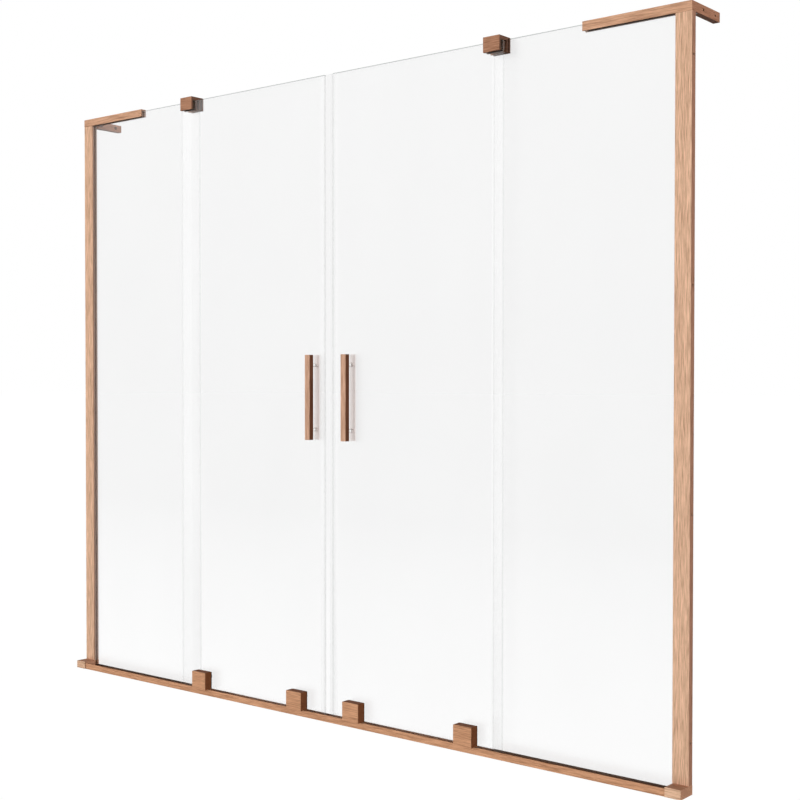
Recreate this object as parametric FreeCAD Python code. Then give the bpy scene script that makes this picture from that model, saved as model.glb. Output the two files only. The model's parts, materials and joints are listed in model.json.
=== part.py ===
import FreeCAD, Part
import math
import os

# Sliding bath screen, in millimetres.
# X runs along the bath from wall to wall, Y away from the viewer, Z up from the rim of the bath.
# A depth is measured from the front of the end caps towards the bath, and y = depth - CAP_DEPTH / 2.
# The origin is the middle of the rail's underside.

# Overall
WIDTH = 1800.0
HEIGHT = 1500.0
GLASS = 6.0

# Clearances
FIT = 0.3
RUNNING = 0.05
SLIDE_GAP = 0.5
PRESS_GAP = 0.03

# Bottom rail and its end caps
CAP_WIDTH = 34.0
CAP_DEPTH = 48.0
CAP_HEIGHT = 19.0
CAP_EDGE = 0.7
CAP_SOCKET = 12.0
RAIL_SETBACK = 2.0
LIP_THICK = 2.0
LIP_HEIGHT = 15.4
TRACK_WIDTH = 6.5
TRACK_FLOOR = 4.0
TRACK_BACK_THICK = 1.5
TRACK_BACK_HEIGHT = 11.0
RAIL_BASE = 2.5
GROOVE_WALL = 2.0
GROOVE_HEIGHT = 6.0
SEALANT_GROOVE_WIDTH = 8.0
SEALANT_GROOVE_DEPTH = 0.8
SEALANT_GROOVE_PLACES = (18.0, 38.0)

# Rounding of the long edges of every extrusion
EXTRUSION_EDGE = 0.5

# Wall posts and the wall channels inside them
POST_WIDTH = 34.0
POST_DEPTH = 15.0
POST_FRONT = 32.5
POST_WALL = 1.6
POST_POCKET = 20.0
WALL_CHANNEL_LENGTH = 16.0
WALL_CHANNEL_WEB = 2.0
WALL_CHANNEL_LEG = 1.6
WALL_SCREW_RADIUS = 2.6
WALL_SCREW_COUNT = 4
WALL_SCREW_FROM_END = 81.0

# Soft liners round the fixed panes
POST_LINER_FLOOR = 2.0
RAIL_LINER_FLOOR = 2.0
RAIL_LINER_LEG = 1.5
RAIL_LINER_HEIGHT = 5.0
TOP_LINER_FLOOR = 2.5
LINER_INSET = 0.6
POST_LINER_LIP = 1.2

# Top channels and the bars that run back along the walls
TOP_HEIGHT = 19.0
TOP_LENGTH = 236.0
TOP_PROUD = 0.5
TOP_WALL = 2.0
BAR_WIDTH = 14.0
BAR_REACH = 116.0
BAR_WALL = 2.0
BAR_SCREW_RADIUS = 2.6
BAR_SCREW_ACCESS = 4.5
BAR_SCREW_SPACING = 50.0
BAR_SCREW_FROM_END = 18.0
PLUG_PLATE = 2.0
PLUG_LENGTH = 12.0
CLEAT_LEG = 28.0
CLEAT_INTO_CHANNEL = 8.0
CLEAT_SCREW_RADIUS = 2.5
CLEAT_SCREW_LENGTH = 9.0
CLEAT_SCREW_FROM_CORNER = 30.0

# Fixed panes
FIXED_PANE_SHOWING = 417.0
EDGE_SEAL_WALL = 1.0
EDGE_SEAL_CLIP = 10.0
EDGE_SEAL_FIN = 9.0
EDGE_SEAL_BOTTOM = 24.0

# Top guides at the free top corners of the fixed panes
GUIDE_OVERHANG = 6.0
GUIDE_WIDTH = 41.0
GUIDE_HEIGHT = 32.0
GUIDE_FRONT_CHEEK = 4.0
GUIDE_REAR_CHEEK = 4.0
GUIDE_TOOTH = 3.0
GUIDE_EDGE = 1.0
GLIDE_WALL = 2.0
GLIDE_HEADROOM = 1.0
GUIDE_SCREW_RADIUS = 2.0
GUIDE_SCREW_SPACING = 22.0
GUIDE_SCREW_DROP = 20.0

# Sliding panes
DOOR_OVERLAP = 39.0
DOOR_END_GAP = 28.0
MEETING_LINE = 19.25
MEETING_GAP = 0.3
DOOR_BOTTOM = 7.0
DOOR_TOP_DROP = 11.0
TRACK_TO_GLASS = 1.0

# Seals on the sliding panes
SEAL_WALL = 1.0
SEAL_CLIP = 10.0
SEAL_REACH = 23.25
STRIP_BODY = 2.0
BULB_WALL = 1.2
SWEEP_FLOOR = 3.0
SWEEP_BACK = 1.5
SWEEP_HEIGHT = 15.0
SWEEP_FIN_REACH = 3.0
SWEEP_FIN_GAP = 0.4

# Roller carriages
CARRIAGE_FROM_OUTER_EDGE = 84.0
LEFT_CARRIAGE_FROM_MEETING = 100.25
RIGHT_CARRIAGE_FROM_MEETING = 74.25
COVER_WIDTH = 47.5
COVER_DEPTH = 21.0
COVER_HEIGHT = 43.1
COVER_WALL = 2.0
COVER_EDGE = 1.5
COVER_RIB = 2.0
COVER_RIB_SPACING = 30.0
CHASSIS_WIDTH = 40.0
CHASSIS_FRONT_PLATE = 2.5
CHASSIS_REAR_PLATE = 1.8
CHASSIS_BRIDGE = 2.5
CHASSIS_RISE = 0.5
GASKET = 2.5
GASKET_INSET = 0.4
PAD = 0.8
PAD_BOTTOM = 36.0
WHEEL_RADIUS = 15.0
WHEEL_SIDE_GAP = 0.4
WHEEL_RIM = 3.0
WHEEL_WEB = 3.0
WHEEL_HUB = 2.0
WHEEL_EDGE = 0.6
BEARING_OUTER = 6.5
BEARING_WIDTH = 5.0
BEARING_RACE = 1.2
BEARING_SHIELD_RECESS = 0.4
AXLE_RADIUS = 2.5
AXLE_HEAD_RADIUS = 5.5
AXLE_HEAD = 3.0
BOLT_RADIUS = 3.0
BOLT_HEAD_RADIUS = 7.0
BOLT_HEAD = 3.6
BOLT_SPACING = 24.0
BOLT_HEIGHT = 46.0
BOLT_REACH = 3.0
BOLT_HOLE_RADIUS = 4.0

# Handles
LEFT_HANDLE_FROM_MEETING = 56.0
RIGHT_HANDLE_FROM_MEETING = 53.4
HANDLE_WIDTH = 15.0
HANDLE_DEPTH = 13.5
HANDLE_LENGTH = 197.0
HANDLE_MIDDLE = 748.0
HANDLE_STANDOFF = 9.5
HANDLE_EDGE = 0.6
HANDLE_MOUNT_SPACING = 150.0
HANDLE_MOUNT_RADIUS = 4.5
HANDLE_STUD_RADIUS = 2.0
HANDLE_HOLE_RADIUS = 3.0
BACK_BAR_DEPTH = 4.0
BACK_BAR_STANDOFF = 3.5
STUD_INTO_BAR = 2.4

# Buffers in the track
STOP_LENGTH = 14.0
STOP_HEIGHT = 10.0

# Places that follow from the sizes above
HALF = WIDTH / 2
CAP_FACE = HALF - CAP_WIDTH
RAIL_END = CAP_FACE + CAP_SOCKET
LIP_BACK = RAIL_SETBACK + LIP_THICK
TRACK_END = LIP_BACK + TRACK_WIDTH
TRACK_BACK = TRACK_END + TRACK_BACK_THICK
SLIDE_FRONT = TRACK_BACK + TRACK_TO_GLASS
SLIDE_BACK = SLIDE_FRONT + GLASS
POST_BACK = POST_FRONT + POST_DEPTH
FIXED_FRONT = POST_FRONT + (POST_DEPTH - GLASS) / 2
FIXED_BACK = FIXED_FRONT + GLASS
RAIL_REAR = FIXED_BACK + RAIL_LINER_LEG + GROOVE_WALL
POST_INNER = HALF - POST_WIDTH
POST_WEB_OUTER = HALF - POST_POCKET
POST_WEB_INNER = POST_WEB_OUTER - POST_WALL
POST_TOP = HEIGHT - TOP_HEIGHT
FIXED_EDGE = POST_INNER - FIXED_PANE_SHOWING
FIXED_OUTER_EDGE = POST_WEB_INNER - POST_LINER_FLOOR
FIXED_BOTTOM = RAIL_BASE + RAIL_LINER_FLOOR
FIXED_TOP = HEIGHT - TOP_WALL - TOP_LINER_FLOOR
TOP_FRONT = POST_FRONT - TOP_PROUD
TOP_BACK = POST_BACK + TOP_PROUD
TOP_INNER_END = HALF - TOP_LENGTH
BAR_INNER = HALF - BAR_WIDTH
BAR_END = TOP_FRONT + BAR_REACH
DOOR_OUTER_EDGE = FIXED_EDGE + DOOR_OVERLAP
DOOR_TRAVEL = CAP_FACE - DOOR_OUTER_EDGE - DOOR_END_GAP
DOOR_TOP = HEIGHT - DOOR_TOP_DROP
OUTER_CARRIAGE = DOOR_OUTER_EDGE - CARRIAGE_FROM_OUTER_EDGE
LEFT_INNER_CARRIAGE = MEETING_LINE - LEFT_CARRIAGE_FROM_MEETING
RIGHT_INNER_CARRIAGE = MEETING_LINE + RIGHT_CARRIAGE_FROM_MEETING
WHEEL_AXIS = TRACK_FLOOR + FIT + WHEEL_RADIUS
WHEEL_FRONT = LIP_BACK + WHEEL_SIDE_GAP
WHEEL_BACK = TRACK_END - WHEEL_SIDE_GAP
COVER_BOTTOM = LIP_HEIGHT + SLIDE_GAP
COVER_TOP = COVER_BOTTOM + COVER_HEIGHT
COVER_BACK = SLIDE_FRONT - GASKET
COVER_FRONT = COVER_BACK - COVER_DEPTH
CHASSIS_BACK = SLIDE_FRONT - PAD
CHASSIS_BOTTOM = COVER_BOTTOM + CHASSIS_RISE
CHASSIS_TOP = COVER_TOP - COVER_WALL - FIT
CHASSIS_FRONT = WHEEL_FRONT - 2 * SLIDE_GAP - CHASSIS_FRONT_PLATE
LEFT_GLASS_EDGE = MEETING_LINE - SEAL_REACH
RIGHT_GLASS_EDGE = MEETING_LINE + MEETING_GAP / 2 + STRIP_BODY
HANDLE_BACK = SLIDE_FRONT - HANDLE_STANDOFF
HANDLE_FRONT = HANDLE_BACK - HANDLE_DEPTH
BACK_BAR_FRONT = SLIDE_BACK + BACK_BAR_STANDOFF
GLIDE_CEILING = DOOR_TOP + GLIDE_HEADROOM
SLOT_FRONT = SLIDE_FRONT - SLIDE_GAP - GLIDE_WALL
SLOT_BACK = SLIDE_BACK + SLIDE_GAP + GLIDE_WALL
GUIDE_INNER = FIXED_EDGE - GUIDE_OVERHANG
GUIDE_FRONT = SLOT_FRONT - GUIDE_FRONT_CHEEK
GUIDE_BACK = FIXED_BACK + FIT + GUIDE_REAR_CHEEK
GUIDE_BOTTOM = HEIGHT - GUIDE_HEIGHT
GUIDE_SCREW_HEIGHT = HEIGHT - GUIDE_SCREW_DROP
STOP_FACE = OUTER_CARRIAGE + DOOR_TRAVEL + WHEEL_RADIUS + SLIDE_GAP


def at(x, depth, z):
    """A point from its place along X, its depth behind the cap fronts and its height."""
    return FreeCAD.Vector(x, depth - CAP_DEPTH / 2, z)


def face_of(points):
    """A flat face whose outline joins the points by straight lines."""
    return Part.Face(Part.makePolygon(points + points[:1]))


def along_x(outline, x0, x1):
    """An outline of (depth, z) points drawn out along X, as an extruded bar is."""
    return face_of([at(x0, depth, z) for depth, z in outline]).extrude(FreeCAD.Vector(x1 - x0, 0, 0))


def along_z(outline, z0, z1):
    """A plan of (x, depth) points drawn out upwards."""
    return face_of([at(x, depth, z0) for x, depth in outline]).extrude(FreeCAD.Vector(0, 0, z1 - z0))


def block(x0, x1, depth0, depth1, z0, z1):
    """A rectangular block between two corners."""
    return along_z([(x0, depth0), (x1, depth0), (x1, depth1), (x0, depth1)], z0, z1)


def rod_x(x0, x1, depth, z, radius):
    """A round rod along X."""
    return Part.makeCylinder(radius, x1 - x0, at(x0, depth, z), FreeCAD.Vector(1, 0, 0))


def rod_y(x, depth0, depth1, z, radius):
    """A round rod along Y."""
    return Part.makeCylinder(radius, depth1 - depth0, at(x, depth0, z), FreeCAD.Vector(0, 1, 0))


def rod_z(x, depth, z0, z1, radius):
    """A round rod along Z."""
    return Part.makeCylinder(radius, z1 - z0, at(x, depth, z0), FreeCAD.Vector(0, 0, 1))


def turned_y(x, z, outline):
    """A turned piece about a line along Y, from an outline of (radius, depth) points."""
    ring = face_of([at(x + radius, depth, z) for radius, depth in outline])
    return ring.revolve(at(x, 0, z), FreeCAD.Vector(0, 1, 0), 360)


def mirrored(shape):
    """The left-hand twin of a right-hand piece."""
    return shape.mirror(FreeCAD.Vector(0, 0, 0), FreeCAD.Vector(1, 0, 0))


def edges_where(shape, test):
    """The straight edges whose two ends both pass a test."""
    return [e for e in shape.Edges if len(e.Vertexes) == 2 and all(test(v.Point) for v in e.Vertexes)]


def close(a, b):
    """True where two lengths are the same for the modeller."""
    return abs(a - b) < 1e-6


def long_edges_x(shape, corners):
    """The edges along X that run through the given (depth, z) corners."""
    wanted = [at(0, depth, z) for depth, z in corners]
    return edges_where(shape, lambda p: any(close(p.y, c.y) and close(p.z, c.z) for c in wanted))


def long_edges_y(shape, corners):
    """The edges along Y that run through the given (x, z) corners."""
    return edges_where(shape, lambda p: any(close(p.x, x) and close(p.z, z) for x, z in corners))


def long_edges_z(shape, corners):
    """The upright edges that run through the given (x, depth) corners."""
    wanted = [at(x, depth, 0) for x, depth in corners]
    return edges_where(shape, lambda p: any(close(p.x, c.x) and close(p.y, c.y) for c in wanted))


# Frame pieces, drawn for the right-hand end

def rail_outline(grow=0.0):
    """The extruded rail: raised track in front, flat floor, and a groove for the fixed panes at the back."""
    groove_front = FIXED_FRONT - RAIL_LINER_LEG
    groove_back = FIXED_BACK + RAIL_LINER_LEG
    wall_front = groove_front - GROOVE_WALL
    return [
        (RAIL_SETBACK - grow, -grow),
        (RAIL_REAR + grow, -grow),
        (RAIL_REAR + grow, GROOVE_HEIGHT + grow),
        (groove_back - grow, GROOVE_HEIGHT + grow),
        (groove_back - grow, RAIL_BASE + grow),
        (groove_front + grow, RAIL_BASE + grow),
        (groove_front + grow, GROOVE_HEIGHT + grow),
        (wall_front - grow, GROOVE_HEIGHT + grow),
        (wall_front - grow, RAIL_BASE + grow),
        (TRACK_BACK + grow, RAIL_BASE + grow),
        (TRACK_BACK + grow, TRACK_BACK_HEIGHT + grow),
        (TRACK_END - grow, TRACK_BACK_HEIGHT + grow),
        (TRACK_END - grow, TRACK_FLOOR + grow),
        (LIP_BACK + grow, TRACK_FLOOR + grow),
        (LIP_BACK + grow, LIP_HEIGHT + grow),
        (RAIL_SETBACK - grow, LIP_HEIGHT + grow),
    ]


def bottom_rail():
    """One length of extruded rail with two shallow grooves for sealant underneath."""
    rail = along_x(rail_outline(), -RAIL_END, RAIL_END)
    outer = [(RAIL_SETBACK, LIP_HEIGHT), (RAIL_SETBACK, 0), (RAIL_REAR, GROOVE_HEIGHT), (RAIL_REAR, 0)]
    rail = rail.makeFillet(EXTRUSION_EDGE, long_edges_x(rail, outer))
    for middle in SEALANT_GROOVE_PLACES:
        front = middle - SEALANT_GROOVE_WIDTH / 2
        back = middle + SEALANT_GROOVE_WIDTH / 2
        rail = rail.cut(block(-RAIL_END, RAIL_END, front, back, 0, SEALANT_GROOVE_DEPTH))
    return rail


def rail_end_cap():
    """A block that sleeves over the rail's end, with a slot for the foot of the fixed pane."""
    cap = block(CAP_FACE, HALF, 0, CAP_DEPTH, 0, CAP_HEIGHT)
    visible = edges_where(cap, lambda p: close(p.z, CAP_HEIGHT))
    visible += long_edges_z(cap, [(CAP_FACE, 0), (HALF, 0)])
    cap = cap.makeChamfer(CAP_EDGE, visible)
    cap = cap.cut(along_x(rail_outline(FIT / 2), CAP_FACE, RAIL_END + FIT))
    slot_end = FIXED_OUTER_EDGE + FIT
    return cap.cut(block(CAP_FACE, slot_end, FIXED_FRONT - FIT, FIXED_BACK + FIT, 0, CAP_HEIGHT))


def wall_post():
    """An extrusion with a pocket on each side of a web: one for the wall channel, one for the pane."""
    front_skin = POST_FRONT + POST_WALL
    back_skin = POST_BACK - POST_WALL
    plan = [
        (POST_INNER, POST_FRONT), (HALF, POST_FRONT), (HALF, front_skin), (POST_WEB_OUTER, front_skin),
        (POST_WEB_OUTER, back_skin), (HALF, back_skin), (HALF, POST_BACK), (POST_INNER, POST_BACK),
        (POST_INNER, back_skin), (POST_WEB_INNER, back_skin),
        (POST_WEB_INNER, front_skin), (POST_INNER, front_skin),
    ]
    post = along_z(plan, CAP_HEIGHT, POST_TOP)
    outer = [(POST_INNER, POST_FRONT), (HALF, POST_FRONT), (HALF, POST_BACK), (POST_INNER, POST_BACK)]
    return post.makeFillet(EXTRUSION_EDGE, long_edges_z(post, outer))


def wall_channel():
    """A channel that is screwed to the wall and slides inside the post."""
    front = POST_FRONT + POST_WALL + FIT
    back = POST_BACK - POST_WALL - FIT
    tip = HALF - WALL_CHANNEL_LENGTH
    web = HALF - WALL_CHANNEL_WEB
    plan = [
        (tip, front), (HALF, front), (HALF, back), (tip, back),
        (tip, back - WALL_CHANNEL_LEG), (web, back - WALL_CHANNEL_LEG),
        (web, front + WALL_CHANNEL_LEG), (tip, front + WALL_CHANNEL_LEG),
    ]
    channel = along_z(plan, CAP_HEIGHT, POST_TOP)
    middle = (CAP_HEIGHT + POST_TOP) / 2
    span = POST_TOP - CAP_HEIGHT - 2 * WALL_SCREW_FROM_END
    pitch = span / (WALL_SCREW_COUNT - 1)
    for i in range(WALL_SCREW_COUNT):
        z = middle + (i - (WALL_SCREW_COUNT - 1) / 2) * pitch
        channel = channel.cut(rod_x(web, HALF, (front + back) / 2, z, WALL_SCREW_RADIUS))
    return channel


def post_liner():
    """A soft channel round the pane's edge inside the post, whose lips show a little."""
    front = POST_FRONT + POST_WALL
    back = POST_BACK - POST_WALL
    lip = POST_INNER - POST_LINER_LIP
    plan = [
        (lip, front), (POST_WEB_INNER, front), (POST_WEB_INNER, back), (lip, back),
        (lip, FIXED_BACK), (FIXED_OUTER_EDGE, FIXED_BACK),
        (FIXED_OUTER_EDGE, FIXED_FRONT), (lip, FIXED_FRONT),
    ]
    return along_z(plan, CAP_HEIGHT, POST_TOP)


def rail_liner():
    """A soft channel that the pane's foot stands in."""
    front = FIXED_FRONT - RAIL_LINER_LEG
    back = FIXED_BACK + RAIL_LINER_LEG
    top = RAIL_BASE + RAIL_LINER_HEIGHT
    outline = [
        (front, RAIL_BASE), (back, RAIL_BASE), (back, top), (FIXED_BACK, top),
        (FIXED_BACK, FIXED_BOTTOM), (FIXED_FRONT, FIXED_BOTTOM), (FIXED_FRONT, top), (front, top),
    ]
    return along_x(outline, FIXED_EDGE, CAP_FACE - FIT)


def top_liner():
    """A soft channel between the pane's top edge and the top channel."""
    front = TOP_FRONT + TOP_WALL
    back = TOP_BACK - TOP_WALL
    ceiling = HEIGHT - TOP_WALL
    foot = POST_TOP + LINER_INSET
    outline = [
        (front, foot), (FIXED_FRONT, foot), (FIXED_FRONT, FIXED_TOP), (FIXED_BACK, FIXED_TOP),
        (FIXED_BACK, foot), (back, foot), (back, ceiling), (front, ceiling),
    ]
    return along_x(outline, TOP_INNER_END + LINER_INSET, FIXED_OUTER_EDGE)


def fixed_pane():
    """A fixed pane, from its free edge to its edge inside the post."""
    return block(FIXED_EDGE, FIXED_OUTER_EDGE, FIXED_FRONT, FIXED_BACK, FIXED_BOTTOM, FIXED_TOP)


def mitre_tool(keep_bar):
    """The wedge beyond the mitre line, on the bar's side or on the channel's side."""
    outer = (HALF, TOP_FRONT)
    inner = (BAR_INNER, TOP_BACK)
    corner = (BAR_INNER, TOP_FRONT) if keep_bar else (HALF, TOP_BACK)
    return along_z([outer, inner, corner], POST_TOP, HEIGHT)


def top_channel():
    """An extruded channel over the pane's top edge, mitred where it meets the wall bar."""
    outline = [
        (TOP_FRONT, POST_TOP), (TOP_FRONT + TOP_WALL, POST_TOP), (TOP_FRONT + TOP_WALL, HEIGHT - TOP_WALL),
        (TOP_BACK - TOP_WALL, HEIGHT - TOP_WALL), (TOP_BACK - TOP_WALL, POST_TOP), (TOP_BACK, POST_TOP),
        (TOP_BACK, HEIGHT), (TOP_FRONT, HEIGHT),
    ]
    channel = along_x(outline, TOP_INNER_END, HALF)
    outer = [(TOP_FRONT, POST_TOP), (TOP_FRONT, HEIGHT), (TOP_BACK, POST_TOP), (TOP_BACK, HEIGHT)]
    return channel.makeFillet(EXTRUSION_EDGE, long_edges_x(channel, outer)).cut(mitre_tool(False))


def bar_screw_depths():
    """How deep the two wall screws of a wall bar sit."""
    last = BAR_END - BAR_SCREW_FROM_END
    return [last - BAR_SCREW_SPACING, last]


def wall_bar():
    """A rectangular tube that runs back along the wall, with screw holes and wider holes for the driver."""
    bar = block(BAR_INNER, HALF, TOP_FRONT, BAR_END, POST_TOP, HEIGHT)
    outer = [(BAR_INNER, POST_TOP), (BAR_INNER, HEIGHT), (HALF, POST_TOP), (HALF, HEIGHT)]
    bar = bar.makeFillet(EXTRUSION_EDGE, long_edges_y(bar, outer))
    bore = block(BAR_INNER + BAR_WALL, HALF - BAR_WALL, TOP_FRONT, BAR_END,
                 POST_TOP + BAR_WALL, HEIGHT - BAR_WALL)
    bar = bar.cut(bore).cut(mitre_tool(True))
    middle = POST_TOP + TOP_HEIGHT / 2
    for depth in bar_screw_depths():
        bar = bar.cut(rod_x(HALF - BAR_WALL, HALF, depth, middle, BAR_SCREW_RADIUS))
        bar = bar.cut(rod_x(BAR_INNER, BAR_INNER + BAR_WALL, depth, middle, BAR_SCREW_ACCESS))
    foot_hole = rod_z(cleat_screw_x(), cleat_screw_depth(), POST_TOP, POST_TOP + BAR_WALL,
                      CLEAT_SCREW_RADIUS + FIT)
    return bar.cut(foot_hole)


def cleat_screw_x():
    """The cleat screw stands in the middle of the bar."""
    return HALF - BAR_WIDTH / 2


def cleat_screw_depth():
    """The cleat screw's depth, counted from the front corner."""
    return TOP_FRONT + CLEAT_SCREW_FROM_CORNER


def corner_cleat():
    """An angle cleat that holds the mitre together from inside."""
    front = TOP_FRONT + TOP_WALL + FIT
    turn = TOP_BACK - TOP_WALL - FIT
    inner = BAR_INNER + BAR_WALL + FIT
    outer = HALF - BAR_WALL - FIT
    plan = [
        (BAR_INNER - CLEAT_INTO_CHANNEL, front), (outer, front), (outer, turn + CLEAT_LEG),
        (inner, turn + CLEAT_LEG), (inner, turn), (BAR_INNER - CLEAT_INTO_CHANNEL, turn),
    ]
    floor = POST_TOP + BAR_WALL + FIT
    cleat = along_z(plan, floor, HEIGHT - TOP_WALL - FIT)
    screw_hole = rod_z(cleat_screw_x(), cleat_screw_depth(), floor, floor + CLEAT_SCREW_LENGTH,
                       CLEAT_SCREW_RADIUS + PRESS_GAP)
    return cleat.cut(screw_hole)


def cleat_screw():
    """A grub screw, flush with the bar's underside."""
    foot = POST_TOP + FIT
    return rod_z(cleat_screw_x(), cleat_screw_depth(), foot, foot + CLEAT_SCREW_LENGTH, CLEAT_SCREW_RADIUS)


def bar_end_plug():
    """A plug that closes the far end of the wall bar."""
    plate = block(BAR_INNER, HALF, BAR_END, BAR_END + PLUG_PLATE, POST_TOP, HEIGHT)
    inset = BAR_WALL + FIT
    spigot = block(BAR_INNER + inset, HALF - inset, BAR_END - PLUG_LENGTH, BAR_END,
                   POST_TOP + inset, HEIGHT - inset)
    return plate.fuse(spigot).removeSplitter()


def top_guide():
    """A comb that clamps on the fixed pane's top corner and holds the sliding pane upright."""
    tooth_back = FIXED_FRONT - FIT - GUIDE_TOOTH
    slot_ceiling = GLIDE_CEILING + GLIDE_WALL
    pane_ceiling = FIXED_TOP + FIT
    outline = [
        (GUIDE_FRONT, GUIDE_BOTTOM), (SLOT_FRONT, GUIDE_BOTTOM), (SLOT_FRONT, slot_ceiling),
        (SLOT_BACK, slot_ceiling), (SLOT_BACK, GUIDE_BOTTOM), (SLOT_BACK + GUIDE_TOOTH, GUIDE_BOTTOM),
        (SLOT_BACK + GUIDE_TOOTH, slot_ceiling), (tooth_back, slot_ceiling), (tooth_back, GUIDE_BOTTOM),
        (FIXED_FRONT - FIT, GUIDE_BOTTOM), (FIXED_FRONT - FIT, pane_ceiling),
        (FIXED_BACK + FIT, pane_ceiling), (FIXED_BACK + FIT, GUIDE_BOTTOM), (GUIDE_BACK, GUIDE_BOTTOM),
        (GUIDE_BACK, HEIGHT), (GUIDE_FRONT, HEIGHT),
    ]
    guide = along_x(outline, GUIDE_INNER, GUIDE_INNER + GUIDE_WIDTH)
    guide = guide.makeFillet(GUIDE_EDGE, edges_where(guide, lambda p: close(p.z, HEIGHT)))
    for x in guide_screw_places():
        screw_hole = rod_y(x, FIXED_BACK + FIT, GUIDE_BACK, GUIDE_SCREW_HEIGHT,
                           GUIDE_SCREW_RADIUS + PRESS_GAP)
        guide = guide.cut(screw_hole)
    return guide


def guide_screw_places():
    """The two clamp screws stand either side of the guide's middle."""
    middle = GUIDE_INNER + GUIDE_WIDTH / 2
    return [middle - GUIDE_SCREW_SPACING / 2, middle + GUIDE_SCREW_SPACING / 2]


def guide_screws():
    """Grub screws through the rear cheek, whose tips meet the pane."""
    return [rod_y(x, FIXED_BACK, GUIDE_BACK, GUIDE_SCREW_HEIGHT, GUIDE_SCREW_RADIUS)
            for x in guide_screw_places()]


def guide_glide():
    """A slippery liner in the guide's slot for the sliding pane."""
    inner_front = SLOT_FRONT + GLIDE_WALL
    inner_back = SLOT_BACK - GLIDE_WALL
    outline = [
        (SLOT_FRONT, GUIDE_BOTTOM), (inner_front, GUIDE_BOTTOM), (inner_front, GLIDE_CEILING),
        (inner_back, GLIDE_CEILING), (inner_back, GUIDE_BOTTOM), (SLOT_BACK, GUIDE_BOTTOM),
        (SLOT_BACK, GLIDE_CEILING + GLIDE_WALL), (SLOT_FRONT, GLIDE_CEILING + GLIDE_WALL),
    ]
    return along_x(outline, GUIDE_INNER, GUIDE_INNER + GUIDE_WIDTH)


def fixed_edge_seal():
    """A clip on the fixed pane's free edge with a fin that reaches towards the sliding pane."""
    nose = FIXED_EDGE - EDGE_SEAL_WALL
    tail = FIXED_EDGE + EDGE_SEAL_CLIP
    front = FIXED_FRONT - EDGE_SEAL_WALL
    back = FIXED_BACK + EDGE_SEAL_WALL
    fin_tip = SLIDE_BACK + SLIDE_GAP
    plan = [
        (nose, back), (nose, front), (nose + EDGE_SEAL_FIN, fin_tip),
        (nose + EDGE_SEAL_FIN + EDGE_SEAL_WALL, fin_tip), (nose + 2 * EDGE_SEAL_WALL, front), (tail, front),
        (tail, FIXED_FRONT), (FIXED_EDGE, FIXED_FRONT),
        (FIXED_EDGE, FIXED_BACK), (tail, FIXED_BACK), (tail, back),
    ]
    return along_z(plan, EDGE_SEAL_BOTTOM, GUIDE_BOTTOM - FIT)


def door_stop():
    """A rubber buffer in the track where the outer wheel ends its run."""
    foot = TRACK_FLOOR
    return block(STOP_FACE, STOP_FACE + STOP_LENGTH, LIP_BACK, TRACK_END, foot, foot + STOP_HEIGHT)


# Door pieces

def bolt_places(carriage):
    """Where the two glass bolts of a carriage stand along X."""
    return [carriage - BOLT_SPACING / 2, carriage + BOLT_SPACING / 2]


def mount_heights():
    """The heights of a handle's two mounts."""
    return [HANDLE_MIDDLE - HANDLE_MOUNT_SPACING / 2, HANDLE_MIDDLE + HANDLE_MOUNT_SPACING / 2]


def countersink(x, clearance):
    """A flush bolt head's cone from the pane's back, grown by a clearance."""
    shoulder = SLIDE_BACK - BOLT_HEAD
    outline = [
        (0, shoulder), (BOLT_HOLE_RADIUS - FIT + clearance, shoulder),
        (BOLT_HEAD_RADIUS + clearance, SLIDE_BACK), (0, SLIDE_BACK),
    ]
    return turned_y(x, BOLT_HEIGHT, outline)


def sliding_pane(x0, x1, carriages, handle):
    """A sliding pane with countersunk holes for its carriages and plain holes for its handle."""
    pane = block(x0, x1, SLIDE_FRONT, SLIDE_BACK, DOOR_BOTTOM, DOOR_TOP)
    for carriage in carriages:
        for x in bolt_places(carriage):
            pane = pane.cut(rod_y(x, SLIDE_FRONT, SLIDE_BACK, BOLT_HEIGHT, BOLT_HOLE_RADIUS))
            pane = pane.cut(countersink(x, FIT))
    for z in mount_heights():
        pane = pane.cut(rod_y(handle, SLIDE_FRONT, SLIDE_BACK, z, HANDLE_HOLE_RADIUS))
    return pane


def carriage_cover(carriage):
    """A box cover, open below and behind, with two ribs that rest on the chassis."""
    half = COVER_WIDTH / 2
    cover = block(carriage - half, carriage + half, COVER_FRONT, COVER_BACK, COVER_BOTTOM, COVER_TOP)
    back_y = at(0, COVER_BACK, 0).y
    rounded = [e for e in cover.Edges
               if not (close(e.BoundBox.ZMax, COVER_BOTTOM) or (close(e.BoundBox.YMin, back_y)))]
    cover = cover.makeFillet(COVER_EDGE, rounded)
    inner = half - COVER_WALL
    cavity = block(carriage - inner, carriage + inner, COVER_FRONT + COVER_WALL, COVER_BACK,
                   COVER_BOTTOM, COVER_TOP - COVER_WALL)
    cover = cover.cut(cavity)
    for side in (-1, 1):
        middle = carriage + side * COVER_RIB_SPACING / 2
        rib = block(middle - COVER_RIB / 2, middle + COVER_RIB / 2, COVER_FRONT + COVER_WALL,
                    CHASSIS_FRONT - FIT, CHASSIS_BOTTOM, COVER_TOP - COVER_WALL)
        cover = cover.fuse(rib)
    return cover.removeSplitter()


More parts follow.
